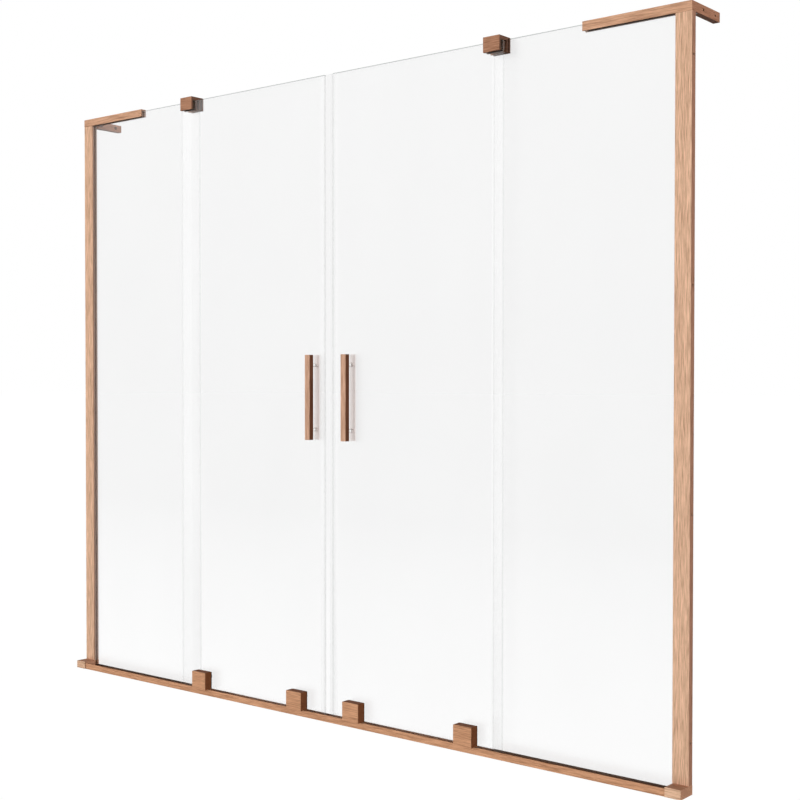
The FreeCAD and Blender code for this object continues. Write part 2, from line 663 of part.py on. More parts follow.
def carriage_chassis(carriage):
    """A folded bracket over the wheel: both plates carry the axle and the rear one takes the bolts."""
    front_inner = CHASSIS_FRONT + CHASSIS_FRONT_PLATE
    rear_inner = CHASSIS_BACK - CHASSIS_REAR_PLATE
    ceiling = CHASSIS_TOP - CHASSIS_BRIDGE
    outline = [
        (CHASSIS_FRONT, CHASSIS_BOTTOM), (front_inner, CHASSIS_BOTTOM), (front_inner, ceiling),
        (rear_inner, ceiling), (rear_inner, CHASSIS_BOTTOM), (CHASSIS_BACK, CHASSIS_BOTTOM),
        (CHASSIS_BACK, CHASSIS_TOP), (CHASSIS_FRONT, CHASSIS_TOP),
    ]
    half = CHASSIS_WIDTH / 2
    chassis = along_x(outline, carriage - half, carriage + half)
    chassis = chassis.cut(rod_y(carriage, CHASSIS_FRONT, CHASSIS_BACK, WHEEL_AXIS, AXLE_RADIUS + RUNNING))
    for x in bolt_places(carriage):
        chassis = chassis.cut(rod_y(x, rear_inner, CHASSIS_BACK, BOLT_HEIGHT, BOLT_RADIUS + RUNNING))
    return chassis


def clamp_pad(carriage):
    """A rubber gasket behind the cover's rim, with a thin pad across it between chassis and pane."""
    half = COVER_WIDTH / 2 - GASKET_INSET
    top = COVER_TOP - GASKET_INSET
    pad = block(carriage - half, carriage + half, COVER_BACK, SLIDE_FRONT, COVER_BOTTOM, top)
    upper_edges = long_edges_y(pad, [(carriage - half, top)]) + long_edges_y(pad, [(carriage + half, top)])
    pad = pad.makeFillet(COVER_EDGE, upper_edges)
    inner = COVER_WIDTH / 2 - COVER_WALL
    pad = pad.cut(block(carriage - inner, carriage + inner, COVER_BACK, CHASSIS_BACK,
                        COVER_BOTTOM, COVER_TOP - COVER_WALL))
    pad = pad.cut(block(carriage - inner, carriage + inner, CHASSIS_BACK, SLIDE_FRONT,
                        COVER_BOTTOM, PAD_BOTTOM))
    for x in bolt_places(carriage):
        pad = pad.cut(rod_y(x, CHASSIS_BACK, SLIDE_FRONT, BOLT_HEIGHT, BOLT_HOLE_RADIUS))
    return pad


def glass_bolt(x):
    """A bolt whose cone lies flush in the pane's back and whose shank holds the chassis."""
    tip = CHASSIS_BACK - CHASSIS_REAR_PLATE - BOLT_REACH
    shank = rod_y(x, tip, SLIDE_BACK - BOLT_HEAD, BOLT_HEIGHT, BOLT_RADIUS)
    return shank.fuse(countersink(x, 0.0)).removeSplitter()


def wheel(carriage):
    """A moulded wheel: rim, thin web and hub, turned about the axle."""
    middle = (WHEEL_FRONT + WHEEL_BACK) / 2
    bore = BEARING_OUTER + PRESS_GAP
    hub = bore + WHEEL_HUB
    rim = WHEEL_RADIUS - WHEEL_RIM
    web_front = middle - WHEEL_WEB / 2
    web_back = middle + WHEEL_WEB / 2
    outline = [
        (bore, WHEEL_FRONT), (hub, WHEEL_FRONT), (hub, web_front), (rim, web_front), (rim, WHEEL_FRONT),
        (WHEEL_RADIUS - WHEEL_EDGE, WHEEL_FRONT), (WHEEL_RADIUS, WHEEL_FRONT + WHEEL_EDGE),
        (WHEEL_RADIUS, WHEEL_BACK - WHEEL_EDGE), (WHEEL_RADIUS - WHEEL_EDGE, WHEEL_BACK),
        (rim, WHEEL_BACK), (rim, web_back), (hub, web_back), (hub, WHEEL_BACK), (bore, WHEEL_BACK),
    ]
    return turned_y(carriage, WHEEL_AXIS, outline)


def wheel_bearing(carriage):
    """A shielded ball bearing as one ring: two races with the shields set back between them."""
    middle = (WHEEL_FRONT + WHEEL_BACK) / 2
    front = middle - BEARING_WIDTH / 2
    back = middle + BEARING_WIDTH / 2
    bore = AXLE_RADIUS + RUNNING
    inner_race = bore + BEARING_RACE
    outer_race = BEARING_OUTER - BEARING_RACE
    shield_front = front + BEARING_SHIELD_RECESS
    shield_back = back - BEARING_SHIELD_RECESS
    outline = [
        (bore, front), (inner_race, front), (inner_race, shield_front), (outer_race, shield_front),
        (outer_race, front), (BEARING_OUTER, front), (BEARING_OUTER, back), (outer_race, back),
        (outer_race, shield_back), (inner_race, shield_back), (inner_race, back), (bore, back),
    ]
    return turned_y(carriage, WHEEL_AXIS, outline)


def wheel_axle(carriage):
    """An axle with a flat head, held in both plates of the chassis."""
    outline = [
        (0, CHASSIS_FRONT - AXLE_HEAD), (AXLE_HEAD_RADIUS, CHASSIS_FRONT - AXLE_HEAD),
        (AXLE_HEAD_RADIUS, CHASSIS_FRONT), (AXLE_RADIUS, CHASSIS_FRONT),
        (AXLE_RADIUS, CHASSIS_BACK), (0, CHASSIS_BACK),
    ]
    return turned_y(carriage, WHEEL_AXIS, outline)


def handle_box(handle, depth0, depth1):
    """A square-edged handle bar with its edges just broken."""
    half = HANDLE_WIDTH / 2
    bar = block(handle - half, handle + half, depth0, depth1,
                HANDLE_MIDDLE - HANDLE_LENGTH / 2, HANDLE_MIDDLE + HANDLE_LENGTH / 2)
    return bar.makeChamfer(HANDLE_EDGE, bar.Edges)


def handle_mount(handle, z):
    """A turned stand-off that shoulders on the pane and passes through it into the back bar."""
    outline = [
        (0, HANDLE_BACK), (HANDLE_MOUNT_RADIUS, HANDLE_BACK), (HANDLE_MOUNT_RADIUS, SLIDE_FRONT),
        (HANDLE_STUD_RADIUS, SLIDE_FRONT), (HANDLE_STUD_RADIUS, BACK_BAR_FRONT + STUD_INTO_BAR),
        (0, BACK_BAR_FRONT + STUD_INTO_BAR),
    ]
    return turned_y(handle, z, outline)


def handle_back(handle):
    """The slim bar on the bath's side, with two bosses that meet the pane."""
    bar = handle_box(handle, BACK_BAR_FRONT, BACK_BAR_FRONT + BACK_BAR_DEPTH)
    for z in mount_heights():
        bar = bar.fuse(rod_y(handle, SLIDE_BACK, BACK_BAR_FRONT + HANDLE_EDGE, z, HANDLE_MOUNT_RADIUS))
    for z in mount_heights():
        socket_end = BACK_BAR_FRONT + STUD_INTO_BAR + FIT
        bar = bar.cut(rod_y(handle, SLIDE_BACK, socket_end, z, HANDLE_STUD_RADIUS + PRESS_GAP))
    return bar.removeSplitter()


def edge_clip(edge, away, body_end):
    """A clip over a pane's vertical edge, with a solid nose that ends at body_end."""
    tail = edge - away * SEAL_CLIP
    front = SLIDE_FRONT - SEAL_WALL
    back = SLIDE_BACK + SEAL_WALL
    plan = [
        (tail, front), (body_end, front), (body_end, back), (tail, back),
        (tail, SLIDE_BACK), (edge, SLIDE_BACK), (edge, SLIDE_FRONT), (tail, SLIDE_FRONT),
    ]
    return along_z(plan, DOOR_BOTTOM, DOOR_TOP)


def meeting_seal():
    """The left pane's closing seal: a clip, a thin flag and a hollow bulb that meets the other pane."""
    radius = (SLIDE_BACK - SLIDE_FRONT) / 2 + SEAL_WALL
    bulb_middle = MEETING_LINE - MEETING_GAP / 2 - radius
    middle = (SLIDE_FRONT + SLIDE_BACK) / 2
    clip = edge_clip(LEFT_GLASS_EDGE, 1, LEFT_GLASS_EDGE + SEAL_WALL)
    flag = block(LEFT_GLASS_EDGE, bulb_middle, middle - SEAL_WALL, middle + SEAL_WALL, DOOR_BOTTOM, DOOR_TOP)
    bulb = rod_z(bulb_middle, middle, DOOR_BOTTOM, DOOR_TOP, radius)
    hollow = rod_z(bulb_middle, middle, DOOR_BOTTOM, DOOR_TOP, radius - BULB_WALL)
    return clip.fuse(flag).fuse(bulb).cut(hollow).removeSplitter()


def meeting_strip():
    """The right pane's slim strike strip."""
    return edge_clip(RIGHT_GLASS_EDGE, -1, RIGHT_GLASS_EDGE - STRIP_BODY)


def door_sweep(x0, x1):
    """A wipe under the pane's bottom edge with a fin that reaches down to the rail's floor."""
    foot = DOOR_BOTTOM - SWEEP_FLOOR
    rear = SLIDE_BACK + SWEEP_BACK
    tip = RAIL_BASE + SWEEP_FIN_GAP
    outline = [
        (SLIDE_FRONT, foot), (rear, foot), (rear + SWEEP_FIN_REACH, tip),
        (rear + SWEEP_FIN_REACH, tip + SEAL_WALL), (rear, DOOR_BOTTOM),
        (rear, DOOR_BOTTOM + SWEEP_HEIGHT), (SLIDE_BACK, DOOR_BOTTOM + SWEEP_HEIGHT),
        (SLIDE_BACK, DOOR_BOTTOM), (SLIDE_FRONT, DOOR_BOTTOM),
    ]
    return along_x(outline, x0, x1)


# Putting the pieces together

pieces = {}


def pair(name, shape):
    """A right-hand frame piece and its left-hand twin, as two nodes."""
    pieces[name + "_right"] = shape
    pieces[name + "_left"] = mirrored(shape)


def group(name, shapes):
    """Like pieces that share one node, each as its own solid."""
    pieces[name] = Part.makeCompound(shapes)


def both_ends(shapes):
    """Small frame pieces at the right end and their twins at the left end."""
    return shapes + [mirrored(s) for s in shapes]


pieces["bottom_rail"] = bottom_rail()
pair("rail_end_cap", rail_end_cap())
pair("wall_post", wall_post())
pair("wall_channel", wall_channel())
pair("fixed_glass", fixed_pane())
group("post_liners", both_ends([post_liner()]))
group("rail_liners", both_ends([rail_liner()]))
pair("top_channel", top_channel())
group("top_liners", both_ends([top_liner()]))
pair("wall_bar", wall_bar())
group("corner_cleats", both_ends([corner_cleat()]))
group("cleat_screws", both_ends([cleat_screw()]))
group("bar_end_plugs", both_ends([bar_end_plug()]))
pair("top_guide", top_guide())
group("guide_glides", both_ends([guide_glide()]))
group("guide_screws", both_ends(guide_screws()))
group("fixed_edge_seals", both_ends([fixed_edge_seal()]))
group("door_stops", both_ends([door_stop()]))

DOORS = {
    "left": {
        "pane": (-DOOR_OUTER_EDGE, LEFT_GLASS_EDGE),
        "sweep": (-DOOR_OUTER_EDGE, LEFT_GLASS_EDGE - SEAL_CLIP - FIT),
        "carriages": {"outer": -OUTER_CARRIAGE, "inner": LEFT_INNER_CARRIAGE},
        "handle": MEETING_LINE - LEFT_HANDLE_FROM_MEETING,
    },
    "right": {
        "pane": (RIGHT_GLASS_EDGE, DOOR_OUTER_EDGE),
        "sweep": (RIGHT_GLASS_EDGE + SEAL_CLIP + FIT, DOOR_OUTER_EDGE),
        "carriages": {"outer": OUTER_CARRIAGE, "inner": RIGHT_INNER_CARRIAGE},
        "handle": MEETING_LINE + RIGHT_HANDLE_FROM_MEETING,
    },
}

for side, door in DOORS.items():
    x0, x1 = door["pane"]
    places = list(door["carriages"].values())
    pieces["sliding_glass_" + side] = sliding_pane(x0, x1, places, door["handle"])
    pieces["door_sweep_" + side] = door_sweep(*door["sweep"])
    pieces["handle_bar_" + side] = handle_box(door["handle"], HANDLE_FRONT, HANDLE_BACK)
    pieces["handle_back_" + side] = handle_back(door["handle"])
    group("handle_mounts_" + side, [handle_mount(door["handle"], z) for z in mount_heights()])
    group("clamp_pads_" + side, [clamp_pad(c) for c in places])
    group("glass_bolts_" + side, [glass_bolt(x) for c in places for x in bolt_places(c)])
    group("wheel_axles_" + side, [wheel_axle(c) for c in places])
    for where, carriage in door["carriages"].items():
        label = "_" + side + "_" + where
        pieces["carriage_cover" + label] = carriage_cover(carriage)
        pieces["carriage_chassis" + label] = carriage_chassis(carriage)
        pieces["wheel" + label] = wheel(carriage)
        pieces["wheel_bearing" + label] = wheel_bearing(carriage)

pieces["meeting_seal"] = meeting_seal()
pieces["meeting_strip"] = meeting_strip()

os.makedirs("parts", exist_ok=True)
for name, shape in pieces.items():
    shape.exportStep("parts/" + name + ".step")
    print(name, len(shape.Solids), "solids", round(shape.Volume / 1000, 2), "cm3", shape.isValid())
wheel_turn = 2 * math.pi * WHEEL_RADIUS
print(len(pieces), "nodes, travel", DOOR_TRAVEL, "mm, one wheel turn per", round(wheel_turn, 1), "mm")
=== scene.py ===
# %% [markdown]
# A sliding bath screen stands on the rim of a bath: two fixed panes near the walls, two panes that
# roll between them, and a brushed copper frame that holds them. The rigid pieces already come from
# the CAD model, so this lesson dresses them: it makes the finishes, turns the soft seals and the
# screws into finer surfaces, and then sets up the studio and the camera.

# %% Load the frame
import json
import math

import bmesh
import bpy
import numpy as np
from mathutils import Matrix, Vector


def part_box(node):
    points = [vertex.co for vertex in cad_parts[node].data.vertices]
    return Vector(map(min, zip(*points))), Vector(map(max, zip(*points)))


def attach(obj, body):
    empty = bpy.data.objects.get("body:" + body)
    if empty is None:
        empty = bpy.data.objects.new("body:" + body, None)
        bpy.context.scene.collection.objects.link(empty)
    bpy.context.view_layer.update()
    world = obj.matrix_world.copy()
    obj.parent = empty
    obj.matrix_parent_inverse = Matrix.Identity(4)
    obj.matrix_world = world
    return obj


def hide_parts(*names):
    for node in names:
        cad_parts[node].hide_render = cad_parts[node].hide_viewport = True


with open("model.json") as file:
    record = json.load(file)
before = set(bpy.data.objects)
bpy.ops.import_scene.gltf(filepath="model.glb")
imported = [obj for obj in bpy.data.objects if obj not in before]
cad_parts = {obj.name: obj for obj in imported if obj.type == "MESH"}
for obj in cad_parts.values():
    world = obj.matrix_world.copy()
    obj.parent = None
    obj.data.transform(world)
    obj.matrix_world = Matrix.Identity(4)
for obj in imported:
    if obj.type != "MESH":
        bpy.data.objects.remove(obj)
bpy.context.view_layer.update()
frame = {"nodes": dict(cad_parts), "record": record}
slot_of = {row["node"]: row["material_slot"] for row in frame["record"]["subparts"]}

# %% [markdown]
# Every finish is a small node tree. Writing each node out by hand hides the idea under clicking, so
# one helper adds a node and sets its values, one starts a material, and one links what varies to the
# shader. A value that is the same all over a surface goes straight onto the shader's socket.


# %% Start a finish
def add_node(tree, kind, **values):
    """Adds one node; a value goes to the socket of that name, or else to the node's own setting."""
    node = tree.nodes.new(kind)
    for name, value in values.items():
        socket = node.inputs.get(name.replace("_", " "))
        if socket is None:
            setattr(node, name, value)
        else:
            socket.default_value = value
    return node


def start_finish(name, **values):
    """A new material with its shader; values are set on the shader's sockets."""
    finish = bpy.data.materials.new(name)
    finish.use_nodes = True
    shader = finish.node_tree.nodes["Principled BSDF"]
    for socket, value in values.items():
        shader.inputs[socket.replace("_", " ")].default_value = value
    return finish, finish.node_tree, shader


def feed(tree, shader, **values):
    """Links each value to the shader's socket of that name."""
    for socket, value in values.items():
        tree.links.new(value, shader.inputs[socket.replace("_", " ")])


print("finishes can be started")

# %% [markdown]
# Colour and roughness wander a little over every real surface. A photograph of the surface would do,
# but noise never repeats and needs no unwrapping. Most of it lies in the middle of the range from 0 to
# 1, so that stretch is mapped onto the numbers or the colours that a finish needs.

# %% Patterns
NOISE_LOW, NOISE_HIGH = 0.3, 0.7


def stretched_noise(tree, scale, detail=2.0, roughness=0.55):
    """Noise on Object coordinates, with its own scale per metre along x, y and z."""
    place = add_node(tree, "ShaderNodeTexCoord")
    mapping = add_node(tree, "ShaderNodeMapping", Scale=scale)
    noise = add_node(tree, "ShaderNodeTexNoise", Scale=1.0, Detail=detail, Roughness=roughness)
    tree.links.new(place.outputs["Object"], mapping.inputs["Vector"])
    tree.links.new(mapping.outputs["Vector"], noise.inputs["Vector"])
    return noise.outputs["Fac"]


def ranged(tree, value, low, high, start=NOISE_LOW, end=NOISE_HIGH):
    """Maps a value between start and end onto the range from low to high."""
    node = add_node(tree, "ShaderNodeMapRange", From_Min=start, From_Max=end, To_Min=low, To_Max=high)
    tree.links.new(value, node.inputs["Value"])
    return node.outputs["Result"]


def ramp(tree, value, stops):
    """A colour ramp through stops of (place, colour)."""
    node = add_node(tree, "ShaderNodeValToRGB")
    band = node.color_ramp.elements
    while len(band) < len(stops):
        band.new(0.5)
    for element, (place, colour) in zip(band, stops):
        element.position = place
        element.color = (*colour, 1.0)
    tree.links.new(value, node.inputs["Fac"])
    return node.outputs["Color"]


def two_tone(tree, noise, dark, light):
    """A ramp from a dark to a light colour over the middle of the noise."""
    return ramp(tree, noise, ((NOISE_LOW, dark), (NOISE_HIGH, light)))


def bump(tree, shader, height, strength, distance):
    """A small relief, so that light breaks on the surface."""
    node = add_node(tree, "ShaderNodeBump", Strength=strength, Distance=distance)
    tree.links.new(height, node.inputs["Height"])
    feed(tree, shader, Normal=node.outputs["Normal"])


print("patterns map noise from", NOISE_LOW, "to", NOISE_HIGH)

# %% [markdown]
# Some finishes depend on the side of a piece: its front, its flanks or its edges. Separate materials
# for single faces would do it, but then every face has to be picked. The surface's normal already
# says which way a face looks, so the node tree reads that.


# %% Sides and sums
def reach_along(tree, vector, letter):
    """How far a vector reaches along one axis, without its sign."""
    split = add_node(tree, "ShaderNodeSeparateXYZ")
    size = add_node(tree, "ShaderNodeMath", operation="ABSOLUTE")
    tree.links.new(vector, split.inputs["Vector"])
    tree.links.new(split.outputs[letter], size.inputs[0])
    return size.outputs["Value"]


def facing(tree, letter):
    """How far the surface looks along one axis of space, from 0 to 1."""
    return reach_along(tree, add_node(tree, "ShaderNodeNewGeometry").outputs["Normal"], letter)


def combined(tree, operation, first, second, kind="ShaderNodeMath"):
    """One Math node on two values: their sum, their product or the larger of them."""
    node = add_node(tree, kind, operation=operation)
    tree.links.new(first, node.inputs[0])
    tree.links.new(second, node.inputs[1])
    return node.outputs[0]


def tinted(tree, colour, shade):
    """Two colours multiplied."""
    return combined(tree, "MULTIPLY", colour, shade, "ShaderNodeVectorMath")


print("sides are read from the normal")

# %% [markdown]
# The frame is aluminium with a brushed copper coat. Brushing leaves fine long streaks along each bar, so
# the noise is pulled out by a factor of about thirty along the grain; with shorter streaks the metal
# would look like wood. On Object coordinates the noise runs on from piece to piece. Two layers are
# mixed: faint clouds and fine streaks. A dark streak is also redder, because the coat is thicker there.
# The fronts are brushed most, so there the metal shines through. The flanks, tops and undersides are
# painted darker and browner than the fronts: painted shade, darkest on carriages, guides and handles.

# %% Brushed copper
GRAIN_AXES = {"x": 0, "y": 1, "z": 2}
CLOUD_ACROSS, CLOUD_ALONG = 90.0, 6.0
STREAK_ACROSS, STREAK_ALONG = 800.0, 26.0
STREAK_DETAIL, STREAK_FINENESS = 4.0, 0.65
STREAK_SHARE = 0.85
STREAK_ROUGH = (0.58, 0.42)
STREAK_RELIEF, STREAK_DEPTH = 0.15, 0.0002
COAT_SPECULAR = 0.02
COAT_METAL, BRUSHED_METAL = 0.04, 0.55
FLANK_FROM, FRONT_FROM = 0.15, 0.45
# The guides' tone is darker in part as painted shade for the top of the screen, which gets less light.
COPPER_TONES = {
    "post": (0.720, 0.455, 0.304), "bar": (0.605, 0.345, 0.217), "cap": (0.715, 0.458, 0.302),
    "fitting": (0.590, 0.310, 0.175), "guide": (0.420, 0.213, 0.128), "handle": (0.600, 0.360, 0.245),
}
PLAIN = (1.0, 1.0, 1.0)
STREAK_SHADES = ((0.30, (0.50, 0.44, 0.39)), (0.42, (0.79, 0.755, 0.73)), (0.50, PLAIN),
                 (0.58, (1.18, 1.20, 1.22)), (0.70, (1.40, 1.44, 1.48)))
# Painted shade: how much darker and browner flanks, tops and undersides are painted than the fronts.
FLANK_PAINTED_SHADE = {
    "post": (0.80, 0.63, 0.61), "bar": (1.0, 0.82, 0.77), "cap": (1.0, 0.80, 0.74),
    "fitting": (0.446, 0.30, 0.22), "guide": (0.58, 0.56, 0.61), "handle": (0.35, 0.23, 0.18),
}


def grain_scale(axis, across, along):
    """Noise scale per metre: the same across the grain both ways, smaller along it."""
    scale = [across] * 3
    scale[GRAIN_AXES[axis]] = along
    return scale


def brushed_copper(tone, axis):
    """Copper coat with streaks along one axis of the object, darker and lighter than its tone, and with
    painted shade on the flanks.
    """
    name = "brushed_copper_" + tone + "_" + axis
    finish, tree, shader = start_finish(name, Specular_IOR_Level=COAT_SPECULAR)
    clouds = stretched_noise(tree, grain_scale(axis, CLOUD_ACROSS, CLOUD_ALONG))
    streaks = stretched_noise(tree, grain_scale(axis, STREAK_ACROSS, STREAK_ALONG),
                              STREAK_DETAIL, STREAK_FINENESS)
    both = add_node(tree, "ShaderNodeMix", data_type="FLOAT", Factor=STREAK_SHARE)
    tree.links.new(clouds, both.inputs["A"])
    tree.links.new(streaks, both.inputs["B"])
    stops = [(place, np.multiply(shade, COPPER_TONES[tone])) for place, shade in STREAK_SHADES]
    front = facing(tree, "Y")
    # painted shade on every face that does not look to the front or back
    painted_flank_shade = ramp(tree, front, ((FLANK_FROM, FLANK_PAINTED_SHADE[tone]), (FRONT_FROM, PLAIN)))
    feed(tree, shader, Base_Color=tinted(tree, ramp(tree, both.outputs["Result"], stops), painted_flank_shade),
         Metallic=ranged(tree, front, COAT_METAL, BRUSHED_METAL, FLANK_FROM, FRONT_FROM),
         Roughness=ranged(tree, streaks, *STREAK_ROUGH))
    bump(tree, shader, streaks, STREAK_RELIEF, STREAK_DEPTH)
    return finish


copper = {(tone, axis): brushed_copper(tone, axis) for tone in COPPER_TONES for axis in GRAIN_AXES}
print("copper finishes", len(copper))

# %% [markdown]
# The panes are 6 mm toughened glass. Real glass mostly shows as a pale veil of what it mirrors, with
# darker polished edges. A refracting shader would be true to life but noisy and slow, so the pane has
# a thin silvery film on each face: most light goes straight through, and the film mirrors the white
# studio softly. The edges, found by their normal, carry the grey green of glass seen deep: the level
# ones at top and bottom most, and the upright ones as a faint line.

# %% Glass
PANE_FILM, EDGE_FILM, SIDE_FILM = 0.095, 0.70, 0.13
PANE_TINT, EDGE_TINT, SIDE_TINT = (0.985, 0.99, 0.99), (0.26, 0.31, 0.29), (0.36, 0.39, 0.38)
EDGE_FROM, EDGE_FULL = 0.98, 0.99
FILM_METAL = 0.9
PANE_CLOUDS = (5.0, 5.0, 3.0)
PANE_ROUGH = (0.28, 0.36)


def clear_glass():
    """A film on the faces, more of it and a darker, cooler colour on the edges."""
    finish, tree, shader = start_finish("clear_glass", Metallic=FILM_METAL)
    level, upright = facing(tree, "Z"), facing(tree, "X")
    tint = tinted(tree, ramp(tree, level, ((EDGE_FROM, PANE_TINT), (EDGE_FULL, EDGE_TINT))),
                  ramp(tree, upright, ((EDGE_FROM, PLAIN), (EDGE_FULL, SIDE_TINT))))
    film = combined(tree, "ADD", ranged(tree, level, PANE_FILM, EDGE_FILM, EDGE_FROM, EDGE_FULL),
                    ranged(tree, upright, 0.0, SIDE_FILM - PANE_FILM, EDGE_FROM, EDGE_FULL))
    rough = ranged(tree, stretched_noise(tree, PANE_CLOUDS), *PANE_ROUGH)
    feed(tree, shader, Base_Color=tint, Alpha=film, Roughness=rough)
    return finish


glass = clear_glass()
print("glass film", PANE_FILM, "edge", EDGE_FILM)

# %% [markdown]
# Seals are clear soft plastic with a slight haze, and extrusion leaves faint lines along them. The haze
# is light scattered inside the plastic. Scattering is slow to render and strips this thin hardly show
# it, so a faint film stands in for it. The seal where the doors meet is a smokier grade than the
# wipers. Walls that look along the bath are seen deeper, so they carry more of the film.

# %% Soft plastic
DRAW_LINES = (900.0, 900.0, 6.0)
PLASTIC_IOR = 1.5
PLASTIC_ROUGH = (0.22, 0.40)
DEEP_FROM, DEEP_FULL = 0.3, 1.0


def soft_plastic(name, dark, light, film, wall_film):
    """Hazy plastic with draw lines between two colours; the film grows towards the walls."""
    finish, tree, shader = start_finish(name, IOR=PLASTIC_IOR)
    lines = stretched_noise(tree, DRAW_LINES)
    feed(tree, shader, Base_Color=two_tone(tree, lines, dark, light),
         Alpha=ranged(tree, facing(tree, "X"), film, wall_film, DEEP_FROM, DEEP_FULL),
         Roughness=ranged(tree, lines, *PLASTIC_ROUGH))
    return finish


wiper_plastic = soft_plastic("clear_seal", dark=(0.86, 0.87, 0.87), light=(0.95, 0.96, 0.96),
                             film=0.005, wall_film=0.020)
closing_plastic = soft_plastic("smoky_seal", dark=(0.46, 0.47, 0.47), light=(0.58, 0.59, 0.59),
                               film=0.022, wall_film=0.050)
print("soft plastics", wiper_plastic.name, closing_plastic.name)

# %% [markdown]
# The small parts are rubber, nylon and steel. Rubber is matt with a fine speckle, moulded nylon is
# milky with a soft mottle, and metal has fine tool lines. A flat colour would look like a placeholder
# close up, so each kind has its own noise, and the colours between which the noise wanders are handed
# in. Then a lighter rubber or a polished steel is just one more call.

# %% Rubber, nylon and metals
SPECKS, SPECK_DETAIL = (1800.0, 1800.0, 1800.0), 4.0
MOTTLE, MOTTLE_DETAIL = (220.0, 220.0, 220.0), 4.0
TOOL_DETAIL = 3.0
RUBBER_SPECULAR, NYLON_SPECULAR = 0.03, 0.45
RUBBER_ROUGH, NYLON_ROUGH = (0.62, 0.82), (0.34, 0.48)
NYLON_DARK, NYLON_LIGHT = (0.74, 0.73, 0.70), (0.84, 0.83, 0.80)
RUBBER_RELIEF, NYLON_RELIEF, TOOL_RELIEF = 0.2, 0.1, 0.1
RELIEF_DEPTH = 0.0001


def matt_rubber(name, dark, light):
    """Matt rubber with a fine speckle between a dark and a light colour."""
    finish, tree, shader = start_finish(name, Specular_IOR_Level=RUBBER_SPECULAR)
    specks = stretched_noise(tree, SPECKS, SPECK_DETAIL)
    feed(tree, shader, Base_Color=two_tone(tree, specks, dark, light),
         Roughness=ranged(tree, specks, *RUBBER_ROUGH))
    bump(tree, shader, specks, RUBBER_RELIEF, RELIEF_DEPTH)
    return finish


def white_nylon():
    """Milky moulded plastic with a soft mottle."""
    finish, tree, shader = start_finish("white_nylon", Specular_IOR_Level=NYLON_SPECULAR)
    mottle = stretched_noise(tree, MOTTLE, MOTTLE_DETAIL)
    feed(tree, shader, Base_Color=two_tone(tree, mottle, NYLON_DARK, NYLON_LIGHT),
         Roughness=ranged(tree, mottle, *NYLON_ROUGH))
    bump(tree, shader, mottle, NYLON_RELIEF, RELIEF_DEPTH)
    return finish


def tooled_metal(name, dark, light, scale, roughness):
    """Metal with tool lines between a dark and a light colour; scale gives the lines."""
    finish, tree, shader = start_finish(name, Metallic=1.0)
    lines = stretched_noise(tree, scale, TOOL_DETAIL)
    feed(tree, shader, Base_Color=two_tone(tree, lines, dark, light),
         Roughness=ranged(tree, lines, *roughness))
    bump(tree, shader, lines, TOOL_RELIEF, RELIEF_DEPTH)
    return finish


stainless = tooled_metal("stainless_steel", dark=(0.40, 0.395, 0.385), light=(0.56, 0.555, 0.545),
                         scale=(900.0, 900.0, 120.0), roughness=(0.26, 0.40))
polished = tooled_metal("polished_steel", dark=(0.90, 0.895, 0.885), light=(0.97, 0.965, 0.955),
                        scale=(300.0, 900.0, 300.0), roughness=(0.08, 0.16))
# Painted veil: the back bars are pale to paint in the white light that the glass mirrors over them.
painted_veil_coat = tooled_metal("painted_veil_coat", dark=(0.89, 0.82, 0.80), light=(0.98, 0.92, 0.90),
                         scale=(500.0, 500.0, 15.0), roughness=(0.38, 0.48))
rubber = matt_rubber("dark_rubber", dark=(0.040, 0.025, 0.018), light=(0.072, 0.047, 0.036))
brown_rubber = matt_rubber("brown_rubber", dark=(0.160, 0.100, 0.070), light=(0.240, 0.150, 0.105))
# Partly the liners' own tan, partly painted light: lighter than their brown to lift the shade in their
# slots.
tan_rubber_painted_light = matt_rubber("tan_rubber_painted_light", dark=(0.620, 0.440, 0.350), light=(0.780, 0.560, 0.450))
nylon = white_nylon()
print("finishes made", len(bpy.data.materials))

# %% [markdown]
# Each CAD node now gets its finish. The bars behind the glass are painted pale, a painted veil that
# stands in for the white light the glass mirrors over them. The stand-offs of the handles are polished,
# unlike the other steel, so that they all but vanish in front of the glass. The glides and the rail's
# liners are of a rubber closer to the frame's colour; the liners of posts and top channels are lighter
# still, as painted light that lifts the shade in their slots. Only copper asks which way the piece was
# brushed: bars that stand are brushed upright, the wall bars front to back, and everything else along
# the bath.

# %% Dress the CAD nodes
UPRIGHT = ("wall_post", "wall_channel", "handle_bar")
FRONT_TO_BACK = ("wall_bar",)
OWN_FINISH = {"handle_mounts": polished, "handle_back": painted_veil_coat, "post_liners": tan_rubber_painted_light,
              "top_liners": tan_rubber_painted_light, "rail_liners": brown_rubber, "guide_glides": brown_rubber}
TONE_OF = {"wall_post": "post", "wall_channel": "post", "wall_bar": "bar", "top_channel": "bar",
           "bar_end": "bar", "rail_end_cap": "cap", "top_guide": "guide", "handle": "handle"}
SLOT_FINISH = {"clear_glass": glass, "clear_seal": wiper_plastic, "dark_rubber": rubber,
               "white_nylon": nylon, "stainless_steel": stainless}


def of_family(table, node, otherwise):
    """The table's value for the family whose name starts the node's name, or else the other value."""
    return next((value for family, value in table.items() if node.startswith(family)), otherwise)


def finish_for(node):
    """A family's own finish comes first, then the slot's, and for copper the way the piece lies."""
    axis = "z" if node.startswith(UPRIGHT) else "y" if node.startswith(FRONT_TO_BACK) else "x"
    coat = copper[of_family(TONE_OF, node, "fitting"), axis]
    return of_family(OWN_FINISH, node, SLOT_FINISH.get(slot_of[node], coat))


for node, piece in frame["nodes"].items():
    piece.data.materials.clear()
    piece.data.materials.append(finish_for(node))
print("dressed", len(frame["nodes"]), "nodes")

